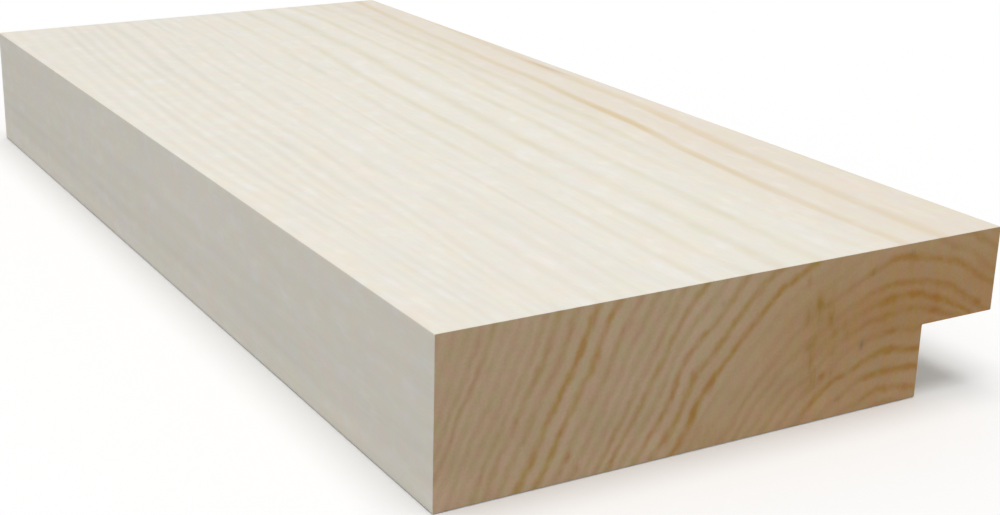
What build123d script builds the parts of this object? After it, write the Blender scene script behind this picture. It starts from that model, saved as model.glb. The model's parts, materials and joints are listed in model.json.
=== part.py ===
"""A planed softwood plank with one rebated edge, modelled as the single piece of timber it is.

The section is a plain rectangle with a square rebate milled out of the lower right corner, which
leaves a tongue level with the top face. The plank lies flat, top face up.

Frame: +X across the width towards the rebated edge, +Y along the grain, +Z up. The origin is the
centre of the overall box at the level of the underside, which is the surface the plank rests on.
All sizes are millimetres.
"""

from build123d import *
import os

# Stock size
THICKNESS = 45.0
WIDTH = 174.0
LENGTH = 378.0

# Rebate milled along the lower right edge
REBATE_WIDTH = 25.0
REBATE_HEIGHT = 21.0
REBATE_ROOT_RADIUS = 0.3

# Easing left on the long edges by a light sanding. The sawn ends stay square.
ARRIS_RADIUS = 0.3


def outer_edges(section, root):
    """The section's corners, apart from the rebate's inner one: each becomes a long edge."""
    return section.vertices().filter_by(lambda v: (v.center() - root).length > ARRIS_RADIUS)


def plank_section():
    """The cross section on the XZ plane: a board outline less its rebate, with eased corners."""
    left = -WIDTH / 2
    right = WIDTH / 2
    shoulder = right - REBATE_WIDTH
    outline = Polyline(
        (left, 0),
        (shoulder, 0),
        (shoulder, REBATE_HEIGHT),
        (right, REBATE_HEIGHT),
        (right, THICKNESS),
        (left, THICKNESS),
        close=True,
    )
    section = make_face(outline)
    root = Vector(shoulder, REBATE_HEIGHT, 0)
    section = fillet(outer_edges(section, root), ARRIS_RADIUS)
    return fillet(section.vertices().sort_by_distance(root)[0], REBATE_ROOT_RADIUS)


def plank():
    """The section run along the grain, between two ends sawn square."""
    along_the_grain = Plane.XZ.offset(-LENGTH / 2)
    return extrude(along_the_grain * plank_section(), LENGTH)


os.makedirs("parts", exist_ok=True)
export_step(plank(), "parts/plank.step")
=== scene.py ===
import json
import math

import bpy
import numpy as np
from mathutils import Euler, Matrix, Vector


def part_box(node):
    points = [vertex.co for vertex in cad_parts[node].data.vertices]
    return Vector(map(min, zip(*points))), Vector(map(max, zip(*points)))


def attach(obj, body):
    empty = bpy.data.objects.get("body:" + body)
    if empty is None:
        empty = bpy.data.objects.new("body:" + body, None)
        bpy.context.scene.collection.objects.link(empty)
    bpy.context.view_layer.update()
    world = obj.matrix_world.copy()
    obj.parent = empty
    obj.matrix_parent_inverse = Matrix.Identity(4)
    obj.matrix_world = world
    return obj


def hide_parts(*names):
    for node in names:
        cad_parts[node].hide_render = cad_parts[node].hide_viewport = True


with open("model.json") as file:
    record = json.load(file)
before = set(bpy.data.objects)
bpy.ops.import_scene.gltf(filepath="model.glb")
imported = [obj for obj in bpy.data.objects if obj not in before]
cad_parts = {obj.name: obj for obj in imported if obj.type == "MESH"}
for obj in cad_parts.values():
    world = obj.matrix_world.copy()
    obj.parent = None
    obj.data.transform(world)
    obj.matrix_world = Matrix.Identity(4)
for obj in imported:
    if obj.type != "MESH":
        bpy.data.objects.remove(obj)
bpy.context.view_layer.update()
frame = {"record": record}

# Looks of the rebated timber plank: one piece of pale softwood, planed on its long faces and sawn
# on its ends. The growth rings are one field in space through listed points, many of them measured
# in the photo, so every face cuts the same rings. The mesh carries that field, and the materials
# draw latewood, fibres, blotches and saw marks from it.
#
# Frame: metres, +X across the width towards the rebate, +Y along the grain, +Z up. The rings are
# written in "board" millimetres: x from the left edge, y from the near end, z from the underside.

MM = 0.001

# The plank's own sizes, from the frame: its box in metres, its length and thickness in millimetres,
# and the rebate's two faces in metres
LOW, HIGH = (np.array(corner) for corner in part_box("plank"))
LENGTH, THICKNESS = (HIGH - LOW)[1:] / MM
PLACES = {mount["name"]: mount["pos_m"] for mount in frame["record"]["mounts"]}
SHOULDER_X = PLACES["rebate_shoulder"][0]
SEAT_Z = PLACES["rebate_seat"][2]

# Mesh: easing of the long edges, break of the sawn edges, and the spacing of the points. Behind an
# eased edge the points keep this share of their way out from the easing's inner corner.
ARRIS = 0.3 * MM
SAWN_BREAK_ACROSS = 0.08 * MM
SAWN_BREAK_ALONG = 0.12 * MM
STEP_ACROSS = 0.9 * MM
STEPS_ALONG = 88
STEPS_NEAR_END = (0.0, 0.3 * MM, 1.2 * MM)
EVEN_STEPS_START = 4 * STEPS_NEAR_END[-1]
CORE_SHARE = 0.7

# Relief, inward only: saw marks on the ends, and a slight swell that the planer left, which starts
# this far from the ends. Both sum this many waves, whose pitch (a millimetre) varies by this share.
SAW_DEPTH = 0.07 * MM
SAW_WAVES = (0.24, 0.0, 0.02)
SAW_SEED = 3
SWELL_DEPTH = 0.05 * MM
SWELL_WAVES = (0.03, 0.008, 0.03)
SWELL_SEED = 5
SWELL_STARTS = (1.5, 12)
WAVE_COUNT = 24
WAVE_SPREAD = (0.4, 1.6)

# A point belongs to a face where its normal turns this far towards that face's direction
FACING = 0.7

# The bake map, in picture points: the gutter between the sides, points a millimetre across
# them, the share of their height for each sawn edge's break, the bottom and the height of each, in
# the order top, left, underside, shoulder, seat and tongue, and both ends' corner and scale
BAKE_SIZE = 1024
BAKE_GUTTER = 5
BAKE_ACROSS = 4.5
BAKE_RIM = 0.006
BAKE_SIDES = [(691, 328), (691, 328), (408, 278), (408, 278), (408, 278), (408, 278)]
BAKE_END_CORNERS = np.array([(5, 143), (5, 5)])
BAKE_END_SCALES = np.array([(5.8, 5.8), (5.8, 2.9)])

# Camera: place, heading from +Y towards +X, dip below the horizon, roll, lens and picture shift
CAMERA_PLACE = (-0.25305, -0.48878, 0.18205)
CAMERA_HEADING = 27.299
CAMERA_DIP = 18.535
CAMERA_ROLL = 0.228
CAMERA_LENS = 59.32
CAMERA_SHIFT = (0.110, -0.0175)

# Light: an overhead soft light and an even dome, which together show the top face's colours as
# they are written
LAMP_STRENGTH = 0.5 * math.pi
LAMP_SOFTNESS = 40
DOME_STRENGTH = 0.5
FLOOR_ALBEDO = 0.62
FLOOR_SIZE = 40
FLOOR_GAP = 0.2 * MM

# Ring number: points (x, z) on the near end. Rings are counted from the bark towards the pith.
END_RINGS = {
    -2: [(-8, 36), (-16, 20)],
    0: [(4.5, 43), (-2, 24), (-12, 4)],
    2.5: [(13.3, 43), (5.5, 24), (-3.5, 4)],
    5: [(22.5, 43), (14, 24), (5, 4)],
    8: [(32.5, 43), (24.5, 24), (15, 4)],
    10: [(44, 44), (42, 40), (38.5, 31), (34.5, 24), (29.5, 14), (23.5, 2)],
    11: [(49.5, 43.5), (45.5, 35), (41, 25), (35, 13), (29, 2)],
    13: [(60.5, 43), (50.5, 24), (39.5, 4)],
    15: [(68.5, 43), (58, 24), (47, 4)],
    17: [(81, 43), (66.4, 24), (54.6, 4)],
    18: [(87, 43), (69.8, 24), (59, 4)],
    19: [(95.6, 43), (77.5, 24), (65, 4)],
    20: [(107, 43), (100, 39.3), (92, 32), (84.5, 24), (80, 19), (75, 12), (69.5, 2), (171.5, 45),
         (174, 43.6)],
    21: [(119, 45), (104, 36), (91, 24), (75.5, 4), (163, 45), (168, 42.5), (173.5, 39.3)],
    22: [(128, 45), (112.5, 36), (98, 24), (79, 4), (152.5, 45), (156, 43), (160.5, 41.3),
         (165, 38.7), (169, 36), (173, 33)],
    23: [(86, 4), (95, 16), (101, 22), (105, 25.5), (113, 32), (122, 35.5), (130, 39), (134, 40.6),
         (139, 41.5), (145, 41), (150, 40), (155, 38.7), (160, 37), (165, 34.2), (170, 31.2), (174, 29.3)],
    24: [(90, 4), (116, 26), (124.5, 30.7), (131, 33.2), (138, 34.2), (146, 33.8), (152, 32.5),
         (159, 30), (165, 26), (170, 22.6)],
    25: [(94.5, 4), (117, 23), (125, 27.5), (133, 29.8), (140, 30.4), (147, 30.1), (152.5, 28.2),
         (161, 24.5), (166, 21.5)],
    26: [(99.5, 4), (113, 14.5), (124, 22.6), (133, 25.4), (141, 26.4), (147, 26), (152.5, 24.7),
         (158, 22.8), (162, 21.3)],
    27: [(104.5, 4), (109, 8.5), (121, 17), (125, 19), (130, 20.2), (138, 21.3), (148, 20.6)],
    28: [(107.5, 1), (111, 4), (114, 6.6), (117, 9.2), (120, 10.6), (124, 11.8), (127, 13),
         (130, 14.4), (134, 15.7), (140, 15.6), (148, 14.5)],
    29: [(116, 1), (119, 3.5), (122, 5), (125, 7), (128, 8.7), (132, 9.5), (138, 10.1), (148, 9)],
    30: [(123, 0.5), (127, 2), (130, 3.5), (134, 4.9), (138, 4.9), (148, 3.2)],
    31: [(137, 0.7)],
}

# The two resinous rings at the right of the top face: points (y, x)
INNER_STREAK = [(0, 140), (40, 140.7), (60, 141.4), (80, 143), (100, 144.5), (130, 149), (160, 151),
                (205, 155), (235, 155.8), (270, 158), (300, 160), (340, 163), (378, 166)]
OUTER_STREAK = [(0, 153.5), (15, 154), (50, 155.5), (100, 159.5), (130, 163), (155, 166),
                (190, 167.5), (235, 169), (280, 172), (340, 176)]

# Ring number: points (y, x) along the top face
TOP_RINGS = {
    1: [(160, 3.5), (200, 4.5), (240, 5.5), (280, 8), (320, 10), (360, 12.5)],
    2: [(100, 11), (160, 9), (200, 10), (240, 11.5), (280, 13), (320, 16.5), (360, 19)],
    3: [(160, 14.5), (200, 15.5), (240, 17.5), (280, 19), (320, 21.5), (360, 25)],
    4: [(160, 19.5), (200, 20.5), (240, 22), (280, 24.5), (320, 26.5)],
    5: [(160, 24.5), (200, 25), (240, 26.5), (280, 29)],
    6: [(160, 30), (200, 30.5), (240, 32), (280, 34), (320, 36.5), (360, 40)],
    7: [(120, 33), (160, 35.5), (200, 36), (240, 37.5), (280, 39.5), (320, 43.5), (360, 46.5)],
    8: [(80, 38), (120, 40.5), (160, 43), (200, 44), (240, 45.5), (280, 48.5), (320, 52), (360, 55.5)],
    10: [(40, 45), (80, 47), (120, 49), (160, 51), (200, 52.5), (240, 54.5), (280, 57), (305, 58.5),
         (320, 61), (360, 64)],
    11: [(40, 53), (80, 55), (120, 56.5), (160, 58.5), (200, 60), (240, 62), (320, 67.5)],
    12: [(80, 61.5), (120, 63), (160, 65.5), (200, 67), (240, 69), (320, 74.5)],
    14: [(40, 66.5), (80, 69), (120, 70.5), (160, 72), (200, 74.5), (240, 76.5), (280, 78.5),
         (320, 82), (360, 84)],
    16: [(15, 76.5), (40, 77), (80, 79), (120, 81), (160, 83), (200, 85.5), (240, 88.5), (280, 91),
         (320, 95), (360, 96.5)],
    18: [(15, 88), (40, 89), (80, 90.5), (120, 92), (160, 95), (200, 97), (240, 100), (280, 104.5),
         (320, 107.5), (360, 109)],
    19: [(15, 100), (40, 101), (80, 103), (120, 105), (160, 108), (200, 111), (240, 114.5),
         (280, 118), (320, 120), (360, 121.5)],
    20: [(15, 112), (40, 113.5), (80, 116), (120, 118.5), (160, 122), (200, 124), (240, 128.5),
         (280, 131), (320, 133), (360, 134)],
    22: [(60, 126), (100, 128), (150, 132), (200, 135), (240, 139.5), (280, 141.5), (320, 143.5),
         (378, 145)] + OUTER_STREAK[1:],
    23: [(60, 132.5), (100, 135.5), (150, 141), (200, 144.5), (240, 146.5), (280, 149.5), (320, 152),
         (378, 154)] + INNER_STREAK[1:],
    23.35: [(50, 137), (100, 140), (150, 145), (225, 150), (300, 155), (378, 160)],
}

# Away from the near end the rings drift across: how far by the far end at the top face and at the
# underside, for places across the plank, and which share of it they have at places along it
DRIFT_ACROSS = [0, 18, 36, 110]
DRIFT_ABOVE = [-3, 8, 20, 25]
DRIFT_BELOW = [-8, 4, 18, 23]
DRIFT_ALONG = [0, 50, 100, 150, 200, 240, 280, 320, 378]
DRIFT_SHARE = [0, 0.087, 0.17, 0.30, 0.43, 0.57, 0.74, 0.87, 1]

# The field: the end's points below this height are copied to these places along the plank, lengths
# along it count for this share, and the larger the give, the less closely it follows the readings
COPY_BELOW = 34
COPY_ALONG = (LENGTH / 3, LENGTH * 2 / 3, LENGTH)
ALONG_SQUEEZE = 0.22
FIELD_GIVE = 6.0

# How far a latewood line reaches on each side, in millimetres: on the long faces the first value
# plus a share of the gap to the next ring, up to the last value, and on the ends between the two
# values, the more the darker it is. LEAST_PACE is the fewest rings a millimetre that are counted.
FACE_LINE = (1.5, 0.26, 4.1)
END_LINE = (1.65, 2.0)
LEAST_PACE = 0.01

# How strongly each ring's latewood shows, about 1 for the darkest. On the ends each pair is for the
# left and for the right, round the pith, and on the long faces for the near part and for the far
# one, with a turn between them. On the left edge and, past RESIN_SIDE across the top face, only a
# share of each is left.
FIRST_RING, LAST_RING = -14, 36
PLAIN_END_RING = (0.28, 0.4)
END_TONES = {0: (0.2, 0.3), 1: (0.2, 0.3), 2: (0.32, 0.3), 3: (0.5, 0.4), 4: (0.2, 0.3),
             5: (0.3, 0.3), 6: (0.2, 0.3), 7: (0.45, 0.4), 8: (0.58, 0.5), 9: (0.52, 0.5),
             10: (1.0, 1.0), 11: (0.88, 0.8), 12: (0.5, 0.5), 13: (0.4, 0.4), 14: (0.26, 0.3),
             15: (0.5, 0.5), 16: (0.7, 0.6), 17: (0.42, 0.4), 18: (0.74, 0.6), 19: (0.72, 0.6),
             20: (0.98, 0.4), 21: (0.15, 0.62), 22: (0.16, 0.45), 23: (0.42, 0.85), 24: (0.4, 0.72),
             25: (0.3, 0.9), 26: (0.42, 0.7), 27: (0.36, 0.65), 28: (0.85, 1.05), 29: (0.34, 1.05),
             30: (0.34, 0.8), 31: (0.4, 0.5)}
END_TURNS = (124, 136)
PLAIN_FACE_RING = (0.1, 0.2)
FACE_TONES = {0: (0.1, 0.15), 1: (0.12, 0.19), 2: (0.14, 0.19), 3: (0.24, 0.34), 4: (0.14, 0.26),
              5: (0.16, 0.16), 6: (0.16, 0.26), 7: (0.17, 0.3), 8: (0.23, 0.31), 9: (0, 0.04),
              10: (0.2, 0.28), 11: (0.14, 0.15), 12: (0.17, 0.22), 13: (0, 0.04), 14: (0.19, 0.24),
              15: (0, 0.06), 16: (0.27, 0.35), 17: (0.03, 0.05), 18: (0.31, 0.4), 19: (0.36, 0.43),
              20: (0.33, 0.4), 21: (0.04, 0.05), 22: (0.15, 0.33), 23: (0.1, 0.35)}
FACE_TURNS = (60, 180)
LEFT_EDGE_TONE = 0.6
RESIN_SIDE_TONE = 0.35
RESIN_SIDE = (152, 162)

# Resin in the two resinous rings: each ring's path, (y, strength) along it, and its width across
STREAKS = [(INNER_STREAK, [(0, 0.3), (50, 0.3), (62, 0.44), (94, 0.5), (110, 0.24), (122, 0.4),
                           (130, 0.66), (160, 0.64), (172, 0.38), (200, 0.27), (300, 0.24),
                           (340, 0.27), (362, 0.38), (378, 0.34)], 2.4),
           (OUTER_STREAK, [(0, 0.24), (50, 0.24), (65, 0.32), (90, 0.36), (140, 0.4), (152, 0.27),
                           (190, 0.27), (378, 0.22)], 3.0)]

# The colours darken a little along the plank's length: (y, how much colour is left). Near the floor
# the upright faces are lightened with painted light by as much as the floor's own shade takes: the
# height and the share.
ALONG_FADE = [(0, 0.992), (60, 0.99), (150, 0.989), (250, 0.974), (320, 0.955), (378, 0.942)]
PAINTED_FLOOR_LIFT = (13, 0.12)

# Where the timber turns from pale to warm, in board x: on the long faces, where the turn follows a
# share of the rings' drift, and on the ends, where it leans and depends on the height: (z, share)
WARM_FACE = (120, 150)
WARM_FACE_DRIFT = 0.5
WARM_END = (59, 113)
WARM_END_LEAN = 0.5
WARM_END_HEIGHTS = [(0, 0.62), (16, 0.72), (23, 1), (31, 1), (44, 0.6)]

# Where the saw smeared resin up and down the near end: x, z, half width, half height, strength
END_SMEARS = [(109, 30, 1, 3, 0.6), (112.4, 33.2, 1.1, 2.4, 0.95), (114.8, 32.3, 2.2, 1.1, 0.7),
              (113, 28.5, 1.6, 1.8, 0.35), (116.7, 28.3, 0.9, 2.3, 0.95), (118.4, 24, 1.1, 1.6, 0.65),
              (121.5, 25.8, 0.9, 1.6, 0.6), (122.4, 23, 0.9, 1.6, 0.65), (109.8, 21.6, 1, 1.3, 0.75),
              (111.7, 23, 0.9, 1.8, 0.65), (111, 17.5, 0.9, 2.5, 0.85), (112.2, 11.8, 0.9, 2, 0.85),
              (110.3, 9.6, 0.9, 1, 0.45), (118.2, 18.6, 0.9, 1.6, 0.45), (123, 36.4, 0.9, 1.8, 0.4),
              (116.5, 36, 0.9, 1.8, 0.3), (108.3, 40, 0.9, 1.6, 0.45), (118.3, 12.8, 0.9, 1.8, 0.5),
              (142.7, 38.5, 0.9, 1.8, 0.3), (137.8, 30, 0.9, 2.4, 0.4), (147.8, 29.8, 0.9, 2, 0.5),
              (113, 28, 6, 11, 0.22), (141, 31, 9, 7, 0.2), (77, 2.5, 10, 5, 0.25)]

# Where the rings' lines fade on the near end, in the same way, or grow stronger if it's below zero
END_GAPS = [(76, 12, 5, 7, -0.3), (107, 1.5, 3.5, 2.5, 0.6), (124.4, 11.7, 1.2, 1.3, 0.6),
            (118, 14.6, 1.5, 1.5, 0.4), (97, 38, 8, 6, 0.1), (141.3, 21, 0.9, 1, 0.5),
            (141.5, 25.8, 1, 1, 0.4), (139.3, 4.9, 1, 1, 0.4), (134.6, 21, 1.4, 1, 0.3)]

# Resin spots and grey specks on the near end: x, z, half width, half height, strength
END_SPOTS = [(37, 6.5, 0.9, 1.3, 0.55), (39.8, 2.6, 0.9, 1.1, 0.35), (152.5, 24.7, 2.0, 1.0, 0.8),
             (152.3, 28.2, 1.6, 1.1, 0.5), (168.3, 24.2, 1.5, 1.3, 0.6), (138, 21.2, 1.8, 0.7, 0.5),
             (115.2, 12.5, 1.3, 1.0, 0.65), (66, 5.5, 1.3, 2.4, 0.4), (73.5, 20.5, 1.1, 1.6, 0.3),
             (79, 17.5, 1.2, 2.5, 0.4), (74, 9.8, 1.3, 3, 0.4), (70.6, 4, 1.1, 2, 0.3),
             (121.4, 11, 1.3, 0.7, 0.3), (147, 14.4, 1.8, 0.9, 0.4), (144.5, 9.6, 2, 0.9, 0.35)]
END_SPECKS = [(128, 18.9, 0.8, 1.2, 0.5), (121.3, 5, 0.8, 0.8, 0.3), (142.8, 42.3, 0.8, 0.9, 0.35),
              (81.5, 38.3, 0.9, 0.9, 0.2), (129.7, 38.9, 0.7, 0.7, 0.3)]

# Red-brown flecks along the top face: y, x, half length, half width, strength
TOP_FLECKS = [(222, 169.2, 13, 0.9, 0.4), (130, 48, 4, 1.2, 0.12)]

# A turn is the pair of noise values between which one look gives way to the other
GENTLE_TURN = (0.25, 0.75)
EVEN_TURN = (0.3, 0.7)
BRISK_TURN = (0.35, 0.65)
SHARP_TURN = (0.4, 0.6)
SMEAR_TURN = (0.36, 0.62)

# Noises of the planed faces and of the sawn ends: waves a metre across, along and up, detail and
# roughness
FACE_FINE_NOISE = ((1200, 50, 1200), 3.0, 0.6)
END_GRIT_NOISE = ((1500, 1, 1500), 3.0, 0.65)
END_SAW_NOISE = ((520, 1, 30), 3.0, 0.6)
END_CLOUD_NOISE = ((110, 1, 110), 2.0, 0.5)
END_SMEAR_NOISE = ((700, 1, 160), 2.0, 0.6)
END_STAIN_NOISE = ((620, 1, 120), 3.0, 0.6)
END_HUE_NOISE = ((300, 1, 240), 3.0, 0.6)

# Bands of the planed faces that run with the rings: waves a ring and a metre along, detail and
# roughness
FACE_BAND_NOISE = ((2.0, 12), 3.0, 0.6)

# The ring lines' sway, in two sizes: waves a metre and reach either way, in millimetres. Then their
# patchiness, in two sizes: waves a metre, and the least and the greatest strength.
FACE_SWAYS = [((60, 16, 60), 0.7), ((220, 70, 220), 0.55)]
END_SWAYS = [((110, 1, 110), 0.8), ((340, 1, 340), 0.8)]
FACE_PATCHES = [((80, 18, 80), (0.55, 1.25)), ((220, 60, 220), (0.75, 1.2))]
END_PATCHES = [((70, 1, 70), (0.75, 1.2)), ((230, 1, 230), (0.65, 1.3))]

# Layers of screen colour, each where its own noise is high: the noise, its turn, the greatest share
# and the colour. On the planed faces they are streaks, clouds, flushes and gleams; the gleams are
# painted sheen, near-white streaks that stand in for the shine.
FACE_LAYERS = [(((210, 26, 210), 3.0, 0.6), (0.35, 0.75), 0.5, (235, 231, 220)),
               (((45, 14, 45), 2.0, 0.5), (0.35, 0.7), 0.45, (232, 229, 219)),
               (((100, 40, 100), 2.0, 0.5), (0.48, 0.75), 0.6, (240, 230, 219)),
               # painted sheen: the gleams' near-white streaks
               (((230, 110, 230), 2.0, 0.5), (0.52, 0.75), 0.6, (243, 239, 235))]
END_LAYERS = [(((180, 1, 90), 2.0, 0.5), (0.35, 0.65), 0.5, (200, 178, 145))]

# Tints that a noise swings the planed faces between
FACE_TINTS = [(((220, 150, 220), 2.0, 0.6), [(255, 252, 253), (253, 255, 255)]),
              (((150, 80, 150), 3.0, 0.6), [(255, 255, 249), (253, 254, 255)])]

# Screen colours of the planed faces: the bands, the warm part's tint, the latewood and the ring
# numbers between which it turns yellower, the resin and the flecks
FACE_BANDS = [(235, 229, 215), (240, 235, 227)]
FACE_WARM_TINT = (251, 246, 242)
FACE_LATEWOOD = [(212, 204, 189), (212, 203, 168)]
FACE_LATEWOOD_TURN = (13, 18)
FACE_RESIN_COLOUR = (214, 186, 130)
FACE_FLECK_COLOUR = (176, 124, 84)

# Screen colours of the ends: the timber, the warm part's tint, the tints of the hue and the stains,
# the smears, the weak and the strong latewood, each pale and warm, the tones between which one
# turns into the other, the latewood's own tints, the resin spots and the specks
END_TIMBER = [(199, 171, 139), (207, 180, 151)]
END_WARM_TINT = (243, 222, 203)
END_HUES = [(255, 247, 249), (248, 255, 244)]
END_STAINS = [(255, 250, 214), (251, 252, 255)]
END_SMEAR_COLOUR = (168, 131, 56)
END_BROWN = [(177, 146, 107), (175, 136, 87)]
END_GOLDEN = [(183, 147, 88), (178, 131, 58)]
END_LATEWOOD_TURN = (0.3, 0.85)
END_LATEWOOD_HUES = [(255, 245, 254), (252, 255, 238)]
END_SPOT_COLOUR = (172, 112, 44)
END_SPECK_COLOUR = (110, 84, 66)

# How far the fine noises darken and lighten the timber, how far the saw's noise weakens and
# strengthens the end's lines, and how much of a smear shows where its own noise is low and high
FACE_FINE_SHADE = (0.977, 1.01)
END_GRIT_SHADE = (0.93, 1.06)
END_SAW_SHADE = (0.985, 1.01)
END_SAW_STRENGTH = (0.7, 1.26)
END_SMEAR_SHARE = (0.55, 1.0)

# A resin streak's shape across, in its widths: from where to where, and (share of the way,
# strength) between. Then which share of the ring lines' sway moves it.
RESIN_REACH = (-1, 1.4)
RESIN_SHAPE = [(0, 0), (0.35, 1), (0.5, 0.9), (1, 0)]
RESIN_SWAY = 0.5

# Surface: the lowest and highest roughness, the relief's depth, the share of the fine noise in it
# beside the lines or the saw marks, and the shine
FACE_ROUGHNESS = (0.55, 0.66)
FACE_RELIEF = 0.02 * MM
FACE_FINE_SHARE = 0.6
END_ROUGHNESS = (0.78, 0.9)
END_RELIEF = 0.05 * MM
END_GRIT_SHARE = 0.5
SHINE = 0.35


def smooth(low, high, value):
    """0 up to low, 1 from high, and an even turn between them."""
    share = np.clip((value - low) / (high - low), 0, 1)
    return share * share * (3 - 2 * share)


def board(points):
    """Points in metres as millimetres from the left edge, the near end and the underside."""
    return (points - LOW) / MM


def drift(x, y, z):
    """How far across a ring has moved at y, against the near end."""
    below = np.interp(x, DRIFT_ACROSS, DRIFT_BELOW)
    above = np.interp(x, DRIFT_ACROSS, DRIFT_ABOVE)
    return (below + (above - below) * z / THICKNESS) * np.interp(y, DRIFT_ALONG, DRIFT_SHARE)


def ring_readings():
    """The listed points with their ring numbers, and copies of the end's points further along."""
    points, numbers = [], []
    for number, crossings in END_RINGS.items():
        for x, z in crossings:
            points.append((x, 0, z))
            numbers.append(number)
            if z < COPY_BELOW:
                points += [(x + drift(x, y, z), y, z) for y in COPY_ALONG]
                numbers += [number] * len(COPY_ALONG)
    for number, crossings in TOP_RINGS.items():
        points += [(x, y, THICKNESS) for y, x in crossings]
        numbers += [number] * len(crossings)
    return np.array(points, float), np.array(numbers, float)


class RingField:
    """A smooth field through the readings, so that its whole numbers are the latewood lines."""

    squeeze = np.array([1, ALONG_SQUEEZE, 1])
    batch = 8000

    def __init__(self):
        points, numbers = ring_readings()
        self.centres = points * self.squeeze
        count = len(points)
        linear = np.c_[np.ones(count), self.centres]
        system = np.zeros((count + 4, count + 4))
        system[:count, :count] = self.bends(self.centres) + FIELD_GIVE * np.eye(count)
        system[:count, count:] = linear
        system[count:, :count] = linear.T
        self.weights = np.linalg.solve(system, np.r_[numbers, np.zeros(4)])

    def bends(self, points):
        """The cube of the distance from each point to each centre."""
        gaps = points[:, None] - self.centres[None]
        return np.sqrt((gaps**2).sum(-1)) ** 3

    def __call__(self, points):
        """Ring numbers at board points."""
        squeezed = points * self.squeeze
        parts = np.array_split(squeezed, 1 + len(squeezed) // self.batch)
        count = len(self.centres)
        bent = np.concatenate([self.bends(part) @ self.weights[:count] for part in parts])
        return bent + np.c_[np.ones(len(squeezed)), squeezed] @ self.weights[count:]

    def slope(self, points, numbers, step=0.5):
        """How fast the ring number changes, in rings a millimetre, along each axis."""
        moves = np.eye(3) * step
        return np.stack([(self(points + move) - numbers) / step for move in moves], -1)


def stations(corners, step):
    """Places along one axis: close ones at each corner's easing, and even steps between. They are
    rounded to a ten thousandth of a millimetre, so that none comes twice."""
    places = set()
    for corner in corners:
        near = (corner + ARRIS * share for share in (-1, -0.5, 0, 0.5, 1))
        places.update(place for place in near if corners[0] <= place <= corners[-1])
    for start, end in zip(corners, corners[1:]):
        count = math.ceil((end - start - 2 * ARRIS) / step)
        places.update(np.linspace(start + ARRIS, end - ARRIS, count + 1))
    return np.unique(np.round(sorted(places), 7))


def eased(x, z):
    """Grid points of the square-cornered section, moved onto its eased corners."""
    x, z = x.copy(), z.copy()
    corners = [(LOW[0], LOW[2], 1, 1), (SHOULDER_X, LOW[2], -1, 1), (SHOULDER_X, SEAT_Z, 1, -1),
               (HIGH[0], SEAT_Z, -1, 1), (HIGH[0], HIGH[2], -1, -1), (LOW[0], HIGH[2], 1, -1)]
    slack = 0.01
    for corner_x, corner_z, side_x, side_z in corners:
        u = (x - corner_x) * side_x / ARRIS
        v = (z - corner_z) * side_z / ARRIS
        block = (np.minimum(u, v) > -slack) & (np.maximum(u, v) < 1 + slack)
        edge = block & (np.minimum(u, v) < slack)
        angle = math.pi / 4 * np.where(u < v, 1 - v, 1 + u)
        new_u = np.where(edge, 1 - np.cos(angle), 1 - (1 - u) * CORE_SHARE)
        new_v = np.where(edge, 1 - np.sin(angle), 1 - (1 - v) * CORE_SHARE)
        x = np.where(block, corner_x + side_x * new_u * ARRIS, x)
        z = np.where(block, corner_z + side_z * new_v * ARRIS, z)
    return x, z


def section_grid():
    """The section as a grid: point places (x, z), quads of point numbers, and the outline loop.

    The loop has the timber on its left and starts at the top right corner."""
    xs = stations([LOW[0], SHOULDER_X, HIGH[0]], STEP_ACROSS)
    zs = stations([LOW[2], SEAT_Z, HIGH[2]], STEP_ACROSS)
    columns, rows = len(xs), len(zs)
    number = np.arange(columns * rows).reshape(columns, rows)
    quads = np.stack([number[:-1, :-1], number[1:, :-1], number[1:, 1:], number[:-1, 1:]], -1)
    middle_x = (xs[1:] + xs[:-1]) / 2
    middle_z = (zs[1:] + zs[:-1]) / 2
    timber = ~((middle_x[:, None] > SHOULDER_X) & (middle_z[None] < SEAT_Z))
    quads = quads[timber]
    used, flat = np.unique(quads, return_inverse=True)
    quads = flat.reshape(quads.shape)
    x, z = eased(xs[used // rows], zs[used % rows])
    edges = {(a, b) for quad in quads.tolist() for a, b in zip(quad, quad[1:] + quad[:1])}
    following = {a: b for a, b in edges if (b, a) not in edges}
    loop = [max(following, key=lambda point: x[point] + z[point])]
    while len(loop) < len(following):
        loop.append(following[loop[-1]])
    return np.c_[x, z], quads, np.array(loop)


def outward(outline):
    """The outward normal at each point of the outline, which runs with the timber on its left."""
    along = np.roll(outline, -1, 0) - np.roll(outline, 1, 0)
    normal = np.c_[along[:, 1], -along[:, 0]]
    return normal / np.linalg.norm(normal, axis=1)[:, None]


def swell(place, waves, seed):
    """A gentle random swell from 0 to 1: plane waves of about that many a millimetre, summed, with
    twice their usual height either way spread over 0 to 1."""
    random = np.random.default_rng(seed)
    total = np.zeros(len(place))
    for _ in range(WAVE_COUNT):
        pitch = np.array(waves) * random.uniform(*WAVE_SPREAD, 3) * random.choice([-1, 1], 3)
        total += np.sin(2 * math.pi * (place @ pitch + random.uniform()))
    usual = math.sqrt(WAVE_COUNT / 2)
    return np.clip(0.5 + total / (4 * usual), 0, 1)


def places_along():
    """Places along the grain: close ones beside the sawn edges, and even steps between."""
    near, far = LOW[1] + SAWN_BREAK_ALONG, HIGH[1] - SAWN_BREAK_ALONG
    close = np.array(STEPS_NEAR_END)
    middle = np.linspace(near + EVEN_STEPS_START, far - EVEN_STEPS_START, STEPS_ALONG)
    return np.r_[near + close, middle, far - close[::-1]]


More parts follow.
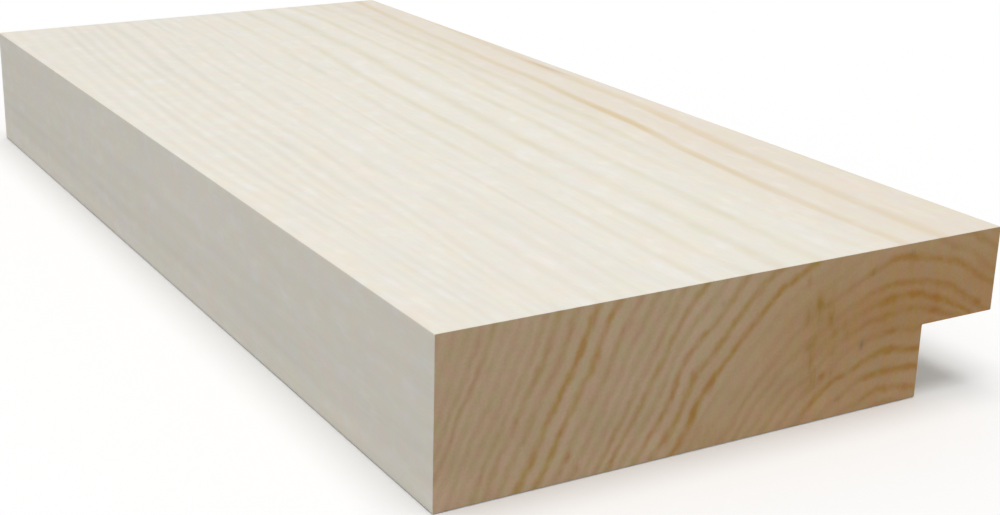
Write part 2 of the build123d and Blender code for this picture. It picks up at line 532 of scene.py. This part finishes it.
def plank_shape():
    """The closed plank: its points, quads and outward normals, the section's outline, and which quad
    is the first of the long sides, after those of the near end and of the far end."""
    flat, quads, loop = section_grid()
    outline = flat[loop]
    normal = outward(outline)
    cap = flat.copy()
    cap[loop] -= normal * SAWN_BREAK_ACROSS
    alongs = places_along()
    ends = [np.insert(cap, 1, y, axis=1) for y in (LOW[1], HIGH[1])]
    rounds = [np.insert(outline, 1, y, axis=1) for y in alongs]
    points = np.concatenate(ends + rounds)

    count, turns = len(flat), len(loop)
    side_loops = 2 * count + np.arange(len(alongs) * turns).reshape(-1, turns)
    loops = np.concatenate([[loop], side_loops, [count + loop]])
    here, after = loops[:-1], loops[1:]
    walls = np.stack([after, np.roll(after, -1, 1), np.roll(here, -1, 1), here], -1)
    faces = np.concatenate([quads, count + quads[:, ::-1], walls.reshape(-1, 4)])

    normals = np.zeros_like(points)
    normals[:count, 1] = -1
    normals[count:2 * count, 1] = 1
    normals[2 * count:, [0, 2]] = np.tile(normal, (len(alongs), 1))
    return points, faces, normals, outline, 2 * len(quads)


def with_relief(points, normals):
    """The points pressed inward a little: saw marks on the ends, and a swell on the long faces."""
    place = board(points)
    on_end = np.abs(normals[:, 1]) > FACING
    from_end = np.minimum(place[:, 1], LENGTH - place[:, 1])
    saw = SAW_DEPTH * swell(place, SAW_WAVES, SAW_SEED)
    planed = SWELL_DEPTH * swell(place, SWELL_WAVES, SWELL_SEED) * smooth(*SWELL_STARTS, from_end)
    return points - normals * np.where(on_end, saw, planed)[:, None]


def section_sides(outline):
    """For each outline segment, which side of the plank it's on, and for both ends how far round
    that side in millimetres. The sides are in the outline's order, from the top face round."""
    step = np.roll(outline, -1, 0) - outline
    upright = np.abs(step[:, 1]) > np.abs(step[:, 0])
    side = np.cumsum(np.r_[False, upright[1:] != upright[:-1]])
    round_end = np.cumsum(np.hypot(*step.T)) / MM
    round_start = np.r_[0, round_end[:-1]]
    side_start = round_start[np.searchsorted(side, side)]
    return side, round_start - side_start, round_end - side_start


def side_edges(widths):
    """Where each long side starts across the map: side by side in its row, with gutters between."""
    edges = []
    following = {}
    for (row, _), width in zip(BAKE_SIDES, widths):
        edges.append(following.get(row, BAKE_GUTTER))
        following[row] = edges[-1] + width + BAKE_GUTTER
    return np.array(edges)


def wall_places(along, outline):
    """Map places of the strips' corners, whose places along are given as (strip, segment, corner)."""
    side, start, end = section_sides(outline)
    widths = [end[side == number].max() * BAKE_ACROSS for number in range(len(BAKE_SIDES))]
    bottom, height = np.array(BAKE_SIDES)[side].T[..., None]
    rim = SAWN_BREAK_ALONG / MM
    share = np.interp(along, [0, rim, LENGTH - rim, LENGTH], [0, BAKE_RIM, 1 - BAKE_RIM, 1])
    across = side_edges(widths)[side][:, None] + np.stack([start, end, end, start], -1) * BAKE_ACROSS
    return np.stack([np.broadcast_to(across, along.shape), bottom + share * height], -1)


def bake_map(mesh, points, faces, outline, first_wall):
    """A flat layout of the plank on one square picture, its bake map: long sides in two rows
    and the ends below them, with the picture's points spent where the grain is finest."""
    along = board(points)[faces[first_wall:], 1].reshape(-1, len(outline), 4)
    walls = wall_places(along, outline)
    caps = board(points)[faces[:first_wall]][..., [0, 2]].reshape(2, -1, 2)
    ends = caps * BAKE_END_SCALES[:, None] + BAKE_END_CORNERS[:, None]
    places = np.r_[ends.reshape(-1, 2), walls.reshape(-1, 2)] / BAKE_SIZE
    mesh.uv_layers.new(name="OFBake").uv.foreach_set("vector", places.ravel())


def ring_tones(numbers, plain, special, turned):
    """How dark each point's ring is: between its table's two values, as far as turned says."""
    rings = np.arange(FIRST_RING, LAST_RING)
    tones = zip(*(special.get(ring, plain) for ring in rings))
    first, second = (np.interp(numbers, rings, column) for column in tones)
    return first + (second - first) * turned


def face_tones(place, normals, numbers):
    """The rings' tones on the long faces. They are paler on the left edge and in the resinous part."""
    tones = ring_tones(numbers, PLAIN_FACE_RING, FACE_TONES, smooth(*FACE_TURNS, place[:, 1]))
    on_left = normals[:, 0] < -FACING
    in_resin = smooth(*RESIN_SIDE, place[:, 0]) * (normals[:, 2] > FACING)
    return tones * np.where(on_left, LEFT_EDGE_TONE, 1) * (1 - (1 - RESIN_SIDE_TONE) * in_resin)


def resin_streak(place, normals, streak):
    """The gap from each point to a resin streak, in its widths, and its strength on the top face."""
    path, amounts, width = streak
    across, along, _ = place.T
    gap = (across - np.interp(along, *zip(*path))) / width
    return gap, np.interp(along, *zip(*amounts)) * (normals[:, 2] > FACING)


def blots(first, second, spots):
    """The strength of soft oval spots: centre, half width and half height, and strength of each."""
    total = np.zeros(len(first))
    for centre, other, wide, high, strength in spots:
        total += strength * np.exp(-(((first - centre) / wide)**2) - ((second - other) / high)**2)
    return total


def warmth(place, normals):
    """How warm the timber is, 0 for the pale left and 1 for the resinous right."""
    across, _, upright = place.T
    shift = WARM_FACE_DRIFT * drift(*place.T)
    on_face = np.interp(across - shift, WARM_FACE, (0, 1))
    on_end = np.interp(across - WARM_END_LEAN * upright, WARM_END, (0, 1))
    on_end = on_end * np.interp(upright, *zip(*WARM_END_HEIGHTS))
    return np.where(np.abs(normals[:, 1]) > FACING, on_end, on_face)


def fade_and_painted_floor_lift(place, normals):
    """How much colour each point keeps: less along the plank, and more beside the floor, where painted
    light lifts the upright faces against the floor's shade.
    """
    height, share = PAINTED_FLOOR_LIFT
    # painted light: the upright faces' colour is lightened near the floor, against the floor's shade
    painted_lift = share * (1 - smooth(0, height, place[:, 2])) * (np.abs(normals[:, 2]) < FACING)
    return np.interp(place[:, 1], *zip(*ALONG_FADE)) * (1 + painted_lift)


def add_values(mesh, name, values):
    """One number a point, which the materials read by name."""
    mesh.attributes.new(name, "FLOAT", "POINT").data.foreach_set("value", values.astype(float))


def add_rings(mesh, place, normals):
    """The ring field on the mesh's points: ring numbers, rings a millimetre, and the lines' tones."""
    field = RingField()
    numbers = field(place)
    slope = field.slope(place, numbers)
    in_face = np.linalg.norm(slope - (slope * normals).sum(1)[:, None] * normals, axis=1)
    pace = np.maximum(in_face, LEAST_PACE)
    least, share, most = FACE_LINE
    across, _, upright = place.T
    turned = smooth(*END_TURNS, across - drift(*place.T))
    gaps = blots(across, upright, END_GAPS) * (normals[:, 1] < -FACING)
    end_tones = ring_tones(numbers, PLAIN_END_RING, END_TONES, turned) * (1 - gaps)
    add_values(mesh, "ring", numbers)
    add_values(mesh, "pace", pace)
    add_values(mesh, "line_width", np.minimum(least + share / pace, most))
    add_values(mesh, "end_tone", end_tones)
    add_values(mesh, "face_tone", face_tones(place, normals, numbers))


def add_marks(mesh, place, normals):
    """On the same points the fade with the painted light near the floor, the warmth, the resin, and the
    smears, spots and specks.
    """
    across, along, upright = place.T
    on_near_end = normals[:, 1] < -FACING
    on_top = normals[:, 2] > FACING
    add_values(mesh, "light", fade_and_painted_floor_lift(place, normals))
    add_values(mesh, "warm", warmth(place, normals))
    for number, streak in enumerate(STREAKS):
        gap, strength = resin_streak(place, normals, streak)
        add_values(mesh, f"resin_gap_{number}", gap)
        add_values(mesh, f"resin_{number}", strength)
    add_values(mesh, "smear", blots(across, upright, END_SMEARS) * on_near_end)
    add_values(mesh, "spot", blots(across, upright, END_SPOTS) * on_near_end)
    specks = blots(across, upright, END_SPECKS) * on_near_end
    flecks = blots(along, across, TOP_FLECKS) * on_top
    add_values(mesh, "speck", specks + flecks)


def add_fibre(mesh, points):
    """Each point's place with the rings' drift taken out, so that the fibres run with the rings."""
    fibre = points.copy()
    fibre[:, 0] -= drift(*board(points).T) * MM
    stored = mesh.attributes.new("fibre", "FLOAT_VECTOR", "POINT")
    stored.data.foreach_set("vector", fibre.ravel())


def plank_piece(long_grain, end_grain):
    """The plank's visible piece: one closed mesh with a material for its faces and one for its ends."""
    points, faces, normals, outline, first_wall = plank_shape()
    mesh = bpy.data.meshes.new("plank_timber")
    mesh.from_pydata(with_relief(points, normals).tolist(), [], faces.tolist())
    add_rings(mesh, board(points), normals)
    add_marks(mesh, board(points), normals)
    add_fibre(mesh, points)
    bake_map(mesh, points, faces, outline, first_wall)
    mesh.materials.append(long_grain)
    mesh.materials.append(end_grain)
    on_ends = np.arange(len(faces)) < first_wall
    mesh.polygons.foreach_set("material_index", on_ends.astype(int))
    mesh.polygons.foreach_set("use_smooth", np.ones(len(faces), bool))
    piece = bpy.data.objects.new("plank_timber", mesh)
    bpy.context.scene.collection.objects.link(piece)
    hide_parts("plank")
    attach(piece, "root")


def colour(red, green, blue):
    """A screen colour of 0 to 255, not near black, as the light values that the shaders take."""
    shares = (channel / 255 for channel in (red, green, blue))
    return tuple(((share + 0.055) / 1.055) ** 2.4 for share in shares) + (1.0,)


class Graph:
    """A material's node tree, with short calls that add a node and join it up."""

    def __init__(self, name):
        self.material = bpy.data.materials.new(name)
        self.material.use_nodes = True
        self.tree = self.material.node_tree
        self.shader = self.tree.nodes["Principled BSDF"]

    def put(self, socket, value):
        """Joins a socket to another, or sets its own value."""
        if isinstance(value, bpy.types.NodeSocket):
            self.tree.links.new(value, socket)
        else:
            socket.default_value = value

    def add(self, kind, *values, **settings):
        """A node with settings, and its first inputs set in order."""
        node = self.tree.nodes.new(kind)
        for name, setting in settings.items():
            setattr(node, name, setting)
        for socket, value in zip(node.inputs, values):
            self.put(socket, value)
        return node

    def value(self, name):
        """A number stored on the mesh."""
        return self.add("ShaderNodeAttribute", attribute_name=name).outputs["Fac"]

    def vector(self, name):
        """A vector stored on the mesh."""
        return self.add("ShaderNodeAttribute", attribute_name=name).outputs["Vector"]

    def math(self, operation, *values):
        """The result of one operation on numbers."""
        return self.add("ShaderNodeMath", *values, operation=operation).outputs[0]

    def product(self, first, *others):
        """All the values multiplied."""
        for other in others:
            first = self.math("MULTIPLY", first, other)
        return first

    def noise(self, place, detail=2.0, roughness=0.5):
        """Noise from about 0 to 1, with its middle at 0.5."""
        node = self.add("ShaderNodeTexNoise", place)
        node.inputs["Scale"].default_value = 1.0
        node.inputs["Detail"].default_value = detail
        node.inputs["Roughness"].default_value = roughness
        return node.outputs["Fac"]

    def grain(self, place, waves, detail=2.0, roughness=0.5):
        """Noise with about that many waves a metre across, along and up."""
        scaled = self.add("ShaderNodeVectorMath", place, operation="MULTIPLY")
        scaled.inputs[1].default_value = waves
        return self.noise(scaled.outputs[0], detail, roughness)

    def flow(self, across, along):
        """Coordinates that run with the rings: about that many waves a ring, and a metre along."""
        ring = self.product(self.value("ring"), across)
        length = self.add("ShaderNodeSeparateXYZ", self.vector("fibre")).outputs["Y"]
        return self.add("ShaderNodeCombineXYZ", ring, self.product(length, along)).outputs[0]

    def sway(self, noise, amount):
        """Noise turned into a swing of up to about amount either way."""
        return self.product(self.math("SUBTRACT", noise, 0.5), 2 * amount)

    def ramp(self, value, stops):
        """A smooth curve of grey through (place, height) stops."""
        node = self.add("ShaderNodeValToRGB", value)
        node.color_ramp.interpolation = "EASE"
        knots = node.color_ramp.elements
        while len(knots) < len(stops):
            knots.new(1.0)
        for knot, (place, height) in zip(knots, stops):
            knot.position = place
            knot.color = (height, height, height, 1)
        return node.outputs["Color"]

    def span(self, value, low, high, start=0.0, end=1.0):
        """Value from low to high spread over start to end, and held beyond."""
        node = self.add("ShaderNodeMapRange", value, low, high, start, end)
        return node.outputs[0]

    def mix(self, share, first, second, blend="MIX"):
        """Two colours mixed, with that share of the second."""
        node = self.add("ShaderNodeMix", data_type="RGBA", blend_type=blend)
        for socket, value in zip([node.inputs[0], *node.inputs[6:8]], (share, first, second)):
            self.put(socket, value)
        return node.outputs[2]

    def times(self, base, tint):
        """A colour multiplied by another or by a grey."""
        return self.mix(1.0, base, tint, "MULTIPLY")

    def between(self, share, pair):
        """A colour on the way from one screen colour of a pair to the other."""
        return self.mix(share, *(colour(*tone) for tone in pair))

    def weighted(self, first, second, share):
        """Two numbers added, with that share of the first and the rest of the second."""
        return self.math("ADD", self.product(first, share), self.product(second, 1 - share))

    def finish(self, base, roughness, height, depth):
        """Joins the surface to its colour, its roughness and a relief of that depth in metres."""
        self.shader.inputs["Specular IOR Level"].default_value = SHINE
        self.put(self.shader.inputs["Base Color"], base)
        self.put(self.shader.inputs["Roughness"], roughness)
        bump = self.add("ShaderNodeBump")
        bump.inputs["Distance"].default_value = depth
        self.put(bump.inputs["Height"], height)
        self.put(self.shader.inputs["Normal"], bump.outputs[0])
        return self.material


def latewood(graph, sway, reach):
    """The latewood of each ring: 1 at the whole ring numbers, and gone at reach millimetres from
    them or halfway to the next ring. sway moves the lines, in millimetres."""
    pace = graph.value("pace")
    ring = graph.math("ADD", graph.value("ring"), graph.product(sway, pace))
    phase = graph.math("PINGPONG", ring, 0.5)
    gap = graph.math("DIVIDE", graph.math("DIVIDE", phase, pace), reach)
    share = graph.math("MAXIMUM", gap, graph.product(phase, 2.0))
    return graph.ramp(share, [(0, 1), (1, 0)])


def sway_of(graph, place, sizes):
    """Two sizes of sway for the ring lines, added."""
    return graph.math("ADD", *(graph.sway(graph.grain(place, waves), reach) for waves, reach in sizes))


def patches(graph, place, sizes):
    """Two sizes of patchiness, multiplied."""
    return graph.product(*(graph.span(graph.grain(place, waves), *EVEN_TURN, *ends)
                           for waves, ends in sizes))


def layered(graph, place, base, layers):
    """The base with colours laid over it in turn, each where its own noise is high."""
    for noise, turn, most, tone in layers:
        share = graph.span(graph.grain(place, *noise), *turn, 0, most)
        base = graph.mix(share, base, colour(*tone))
    return base


def resin(graph, number, sway):
    """How strongly one of the resin streaks shows."""
    gap = graph.math("ADD", graph.value(f"resin_gap_{number}"), graph.product(sway, RESIN_SWAY))
    shape = graph.ramp(graph.span(gap, *RESIN_REACH), RESIN_SHAPE)
    return graph.product(shape, graph.value(f"resin_{number}"))


def long_grain_material():
    """Planed pale sapwood: fine fibres, soft latewood lines, and resin in the rings at right."""
    graph = Graph("planed_timber")
    fibre = graph.vector("fibre")
    fine = graph.grain(fibre, *FACE_FINE_NOISE)
    sway = sway_of(graph, fibre, FACE_SWAYS)
    line = latewood(graph, sway, graph.value("line_width"))
    tone = graph.product(line, graph.value("face_tone"), patches(graph, fibre, FACE_PATCHES))

    waves, detail, roughness = FACE_BAND_NOISE
    bands = graph.noise(graph.flow(*waves), detail, roughness)
    base = graph.between(graph.span(bands, *EVEN_TURN), FACE_BANDS)
    base = layered(graph, fibre, base, FACE_LAYERS)
    base = graph.mix(graph.value("warm"), base, graph.times(base, colour(*FACE_WARM_TINT)))
    for noise, tints in FACE_TINTS:
        share = graph.span(graph.grain(fibre, *noise), *BRISK_TURN)
        base = graph.times(base, graph.between(share, tints))
    yellower = graph.span(graph.value("ring"), *FACE_LATEWOOD_TURN)
    base = graph.mix(tone, base, graph.between(yellower, FACE_LATEWOOD))
    for number in range(len(STREAKS)):
        base = graph.mix(resin(graph, number, sway), base, colour(*FACE_RESIN_COLOUR))
    base = graph.mix(graph.value("speck"), base, colour(*FACE_FLECK_COLOUR))
    base = graph.times(base, graph.span(fine, *GENTLE_TURN, *FACE_FINE_SHADE))
    # the fade along the plank, and the painted light that lifts the colour near the floor
    base = graph.times(base, graph.value("light"))

    roughness = graph.span(fine, *EVEN_TURN, *FACE_ROUGHNESS)
    return graph.finish(base, roughness, graph.weighted(fine, line, FACE_FINE_SHARE), FACE_RELIEF)


def end_lines(graph, place, saw, hue):
    """The ends' latewood: how strongly it shows at each place, and its colour there."""
    strength = graph.value("end_tone")
    line = latewood(graph, sway_of(graph, place, END_SWAYS), graph.span(strength, 0, 1, *END_LINE))
    sawn = graph.span(saw, *EVEN_TURN, *END_SAW_STRENGTH)
    tone = graph.product(line, strength, patches(graph, place, END_PATCHES), sawn)
    brown, golden = (graph.between(graph.value("warm"), pair) for pair in (END_BROWN, END_GOLDEN))
    shade = graph.mix(graph.span(strength, *END_LATEWOOD_TURN), brown, golden)
    return tone, graph.times(shade, graph.between(graph.span(hue, *SHARP_TURN), END_LATEWOOD_HUES))


def end_grain_material():
    """Sawn end grain: browner, with darker rings, grit, stains and upright saw marks."""
    graph = Graph("sawn_end_grain")
    place = graph.add("ShaderNodeTexCoord").outputs["Object"]
    warm = graph.value("warm")
    grit = graph.grain(place, *END_GRIT_NOISE)
    saw = graph.grain(place, *END_SAW_NOISE)
    cloud = graph.grain(place, *END_CLOUD_NOISE)
    hue = graph.grain(place, *END_HUE_NOISE)
    staining = graph.grain(place, *END_STAIN_NOISE)
    smearing = graph.grain(place, *END_SMEAR_NOISE)

    base = graph.between(graph.span(cloud, *EVEN_TURN), END_TIMBER)
    base = layered(graph, place, base, END_LAYERS)
    base = graph.mix(warm, base, graph.times(base, colour(*END_WARM_TINT)))
    base = graph.times(base, graph.between(graph.span(hue, *BRISK_TURN), END_HUES))
    stains = graph.between(graph.span(staining, *BRISK_TURN), END_STAINS)
    base = graph.mix(warm, base, graph.times(base, stains))
    smears = graph.product(graph.span(smearing, *SMEAR_TURN, *END_SMEAR_SHARE), graph.value("smear"))
    base = graph.mix(smears, base, colour(*END_SMEAR_COLOUR))
    tone, latewood_colour = end_lines(graph, place, saw, hue)
    base = graph.mix(tone, base, latewood_colour)
    base = graph.mix(graph.value("spot"), base, colour(*END_SPOT_COLOUR))
    base = graph.mix(graph.value("speck"), base, colour(*END_SPECK_COLOUR))
    base = graph.times(base, graph.span(grit, *GENTLE_TURN, *END_GRIT_SHADE))
    base = graph.times(base, graph.span(saw, *EVEN_TURN, *END_SAW_SHADE))
    # the fade along the plank, and the painted light that lifts the colour near the floor
    base = graph.times(base, graph.value("light"))

    roughness = graph.span(grit, *EVEN_TURN, *END_ROUGHNESS)
    return graph.finish(base, roughness, graph.weighted(grit, saw, END_GRIT_SHARE), END_RELIEF)


def white_for_views(graph, value, plain, seen):
    """Joins a socket to the seen value for camera, glossy and glass rays, and plain for others."""
    path = graph.add("ShaderNodeLightPath")
    rays = [path.outputs[f"Is {kind} Ray"] for kind in ("Camera", "Glossy", "Transmission")]
    share = graph.math("MAXIMUM", graph.math("MAXIMUM", rays[0], rays[1]), rays[2])
    graph.put(value, graph.span(share, 0, 1, plain, seen))


class WorldGraph(Graph):
    """The same short calls for the world's nodes."""

    def __init__(self, world):
        world.use_nodes = True
        self.tree = world.node_tree
        self.background = self.tree.nodes["Background"]


def studio():
    """A pale floor, a soft lamp overhead and an even dome. Seen directly, floor and dome are white."""
    world = bpy.data.worlds.new("studio")
    bpy.context.scene.world = world
    graph = WorldGraph(world)
    graph.background.inputs["Color"].default_value = (1, 1, 1, 1)
    white_for_views(graph, graph.background.inputs["Strength"], DOME_STRENGTH, 1.0)

    lamp = bpy.data.lights.new("overhead", "SUN")
    lamp.energy = LAMP_STRENGTH
    lamp.angle = math.radians(LAMP_SOFTNESS)
    bpy.context.scene.collection.objects.link(bpy.data.objects.new("overhead", lamp))

    bpy.ops.mesh.primitive_plane_add(size=FLOOR_SIZE, location=(0, 0, -FLOOR_GAP))
    floor = bpy.context.object
    floor.name = "floor"
    paint = Graph("floor_paint")
    paint.shader.inputs["Specular IOR Level"].default_value = 0
    paint.shader.inputs["Roughness"].default_value = 1
    white_for_views(paint, paint.shader.inputs["Base Color"], FLOOR_ALBEDO, 1.0)
    floor.data.materials.append(paint.material)


def camera():
    """The camera where the photograph was taken from."""
    data = bpy.data.cameras.new("camera")
    data.lens = CAMERA_LENS
    data.shift_x, data.shift_y = CAMERA_SHIFT
    seat = bpy.data.objects.new("camera", data)
    bpy.context.scene.collection.objects.link(seat)
    heading, dip, roll = (math.radians(angle) for angle in (CAMERA_HEADING, CAMERA_DIP, CAMERA_ROLL))
    aim = Euler((math.pi / 2 - dip, 0, -heading)).to_matrix() @ Matrix.Rotation(roll, 3, "Z")
    seat.location = CAMERA_PLACE
    seat.rotation_euler = aim.to_euler()
    bpy.context.scene.camera = seat


camera()
studio()
plank_piece(long_grain_material(), end_grain_material())
bpy.context.scene.view_settings.view_transform = "Standard"
